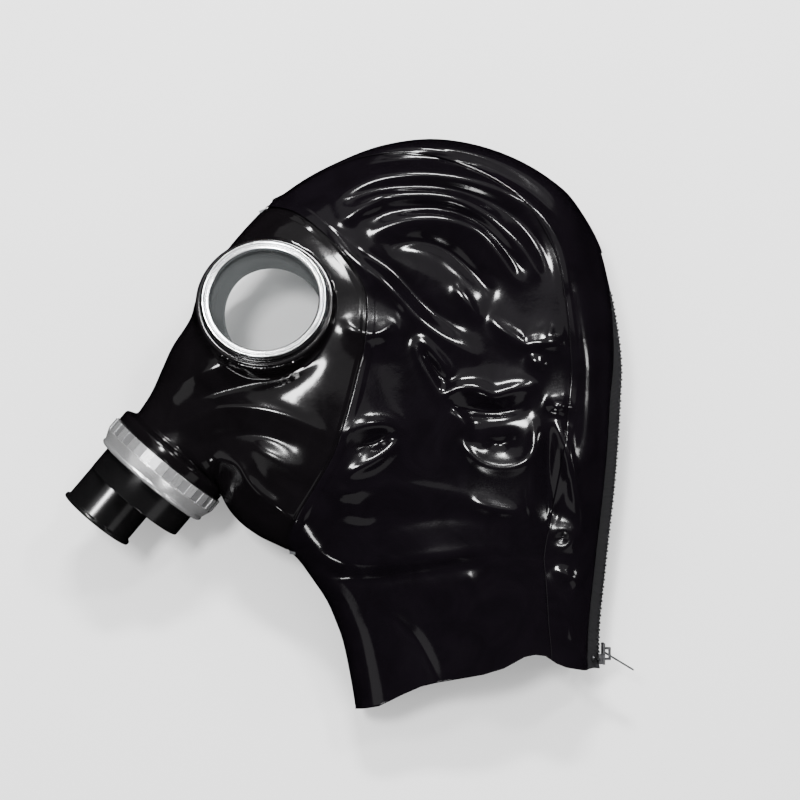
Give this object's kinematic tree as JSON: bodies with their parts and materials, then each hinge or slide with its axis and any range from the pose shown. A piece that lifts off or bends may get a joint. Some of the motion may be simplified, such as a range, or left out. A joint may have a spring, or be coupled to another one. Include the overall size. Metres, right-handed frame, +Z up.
{
  "type": "gas mask style costume hood",
  "caption": "Glossy black latex hood lying on its side, with a moulded mask face, round eye lenses in metal rings, a clamped intake nozzle and a back zip.",
  "frame": {"origin": "middle of the underside of the whole hood as it lies on its right side", "axes": "+Z up from the surface, +X from the face to the back of the head, +Y from the neck hem to the crown"},
  "size_m": [0.3216, 0.3246, 0.0991],
  "materials": {
    "latex": "polished thin sheet latex, near black",
    "face_rubber": "polished moulded rubber, near black",
    "aluminium": "turned and polished",
    "lens_glass": "clear, faintly grey",
    "black_plastic": "glossy moulded plastic",
    "zip_fabric": "dull woven tape",
    "zip_metal": "dark metal, bright where worn"
  },
  "bodies": {
    "hood": {"face_piece": "face_rubber", "side_panel_left": "latex", "side_panel_right": "latex", "centre_panel": "latex", "zip_tape_left": "zip_fabric", "zip_tape_right": "zip_fabric", "zip_teeth": "zip_metal", "zip_slider": "zip_metal", "zip_end_stop": "zip_metal", "eye_ring_left": "aluminium", "eye_ring_right": "aluminium", "lens_left": "lens_glass", "lens_right": "lens_glass", "clamp_ring": "aluminium", "valve_body": "black_plastic", "intake_stub": "black_plastic"},
    "pull_tab": {"zip_pull": "zip_metal"}
  },
  "joints": [
    {"name": "pull_swing", "type": "hinge", "parent": "hood", "child": "pull_tab", "pos_m": [0.14554, -0.13061, 0.03573], "axis": [0, 0, 1], "range_deg": [-49, 110]}
  ]
}
